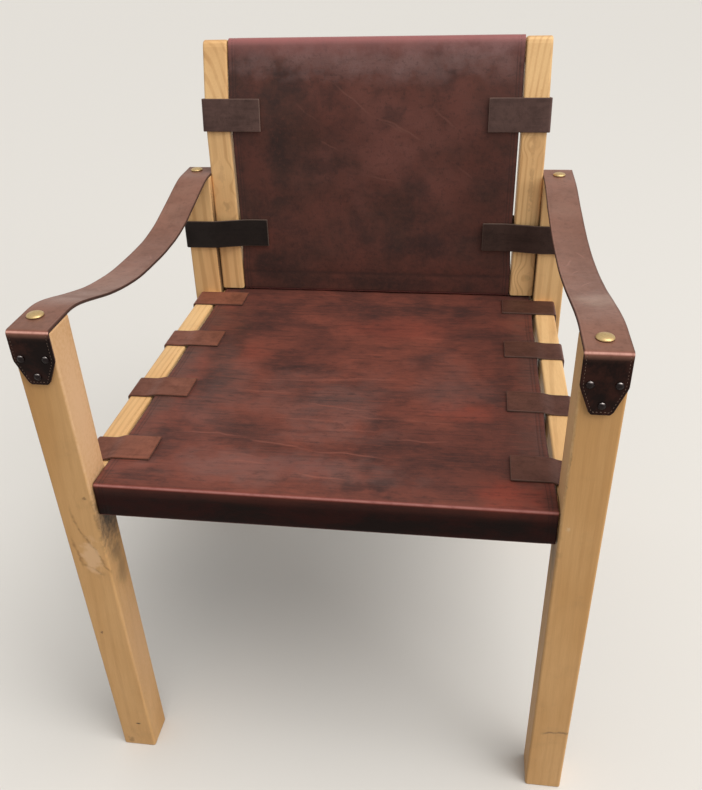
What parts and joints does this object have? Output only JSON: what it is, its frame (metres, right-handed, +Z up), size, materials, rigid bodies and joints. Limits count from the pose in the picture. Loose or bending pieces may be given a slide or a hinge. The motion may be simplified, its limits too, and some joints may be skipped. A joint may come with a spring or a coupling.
{
  "type": "leather sling lounge chair",
  "caption": "Low lounge armchair with a plain softwood frame, a leather sling seat and back tied on with leather straps, and leather straps as armrests.",
  "frame": {"origin": "on the floor, under the middle of the whole chair's outside size", "axes": "+X to the right as seen from the front, +Y to the back, +Z up"},
  "size_m": [0.6126, 0.6441, 0.8325],
  "materials": {
    "leg_wood": "satin, clear-finished softwood",
    "rail_wood": "satin, clear-finished softwood",
    "post_wood": "satin, clear-finished softwood",
    "seat_leather": "waxed, mottled red-brown",
    "back_leather": "waxed, mottled dark brown",
    "strap_leather": "waxed, dark brown",
    "arm_leather": "waxed, worn brown",
    "brass": "worn satin",
    "dark_nail": "dark, burnished"
  },
  "bodies": {
    "root": {"front_rail": "rail_wood", "rear_rail": "rail_wood", "seat_sling": "seat_leather", "side_rail_left": "rail_wood", "seat_strap_left_1": "strap_leather", "seat_strap_left_2": "strap_leather", "seat_strap_left_3": "strap_leather", "seat_strap_left_4": "strap_leather", "side_rail_right": "rail_wood", "seat_strap_right_1": "strap_leather", "seat_strap_right_2": "strap_leather", "seat_strap_right_3": "strap_leather", "seat_strap_right_4": "strap_leather", "back_top_rail": "rail_wood", "back_strap_upper_left": "strap_leather", "back_strap_upper_right": "strap_leather", "back_strap_lower_left": "strap_leather", "back_strap_lower_right": "strap_leather", "back_bottom_rail": "rail_wood", "back_sling": "back_leather", "back_post_left": "post_wood", "back_dowel_left_1": "rail_wood", "back_dowel_left_2": "rail_wood", "back_post_right": "post_wood", "back_dowel_right_1": "rail_wood", "back_dowel_right_2": "rail_wood", "front_leg_left": "leg_wood", "rear_leg_left": "leg_wood", "arm_strap_left": "arm_leather", "arm_stud_front_left": "brass", "arm_nail_front_left_1": "dark_nail", "arm_nail_front_left_2": "dark_nail", "arm_nail_front_left_3": "dark_nail", "arm_stud_rear_left": "brass", "arm_nail_rear_left_1": "dark_nail", "arm_nail_rear_left_2": "dark_nail", "arm_nail_rear_left_3": "dark_nail", "front_leg_right": "leg_wood", "rear_leg_right": "leg_wood", "arm_strap_right": "arm_leather", "arm_stud_front_right": "brass", "arm_nail_front_right_1": "dark_nail", "arm_nail_front_right_2": "dark_nail", "arm_nail_front_right_3": "dark_nail", "arm_stud_rear_right": "brass", "arm_nail_rear_right_1": "dark_nail", "arm_nail_rear_right_2": "dark_nail", "arm_nail_rear_right_3": "dark_nail"}
  },
  "joints": []
}
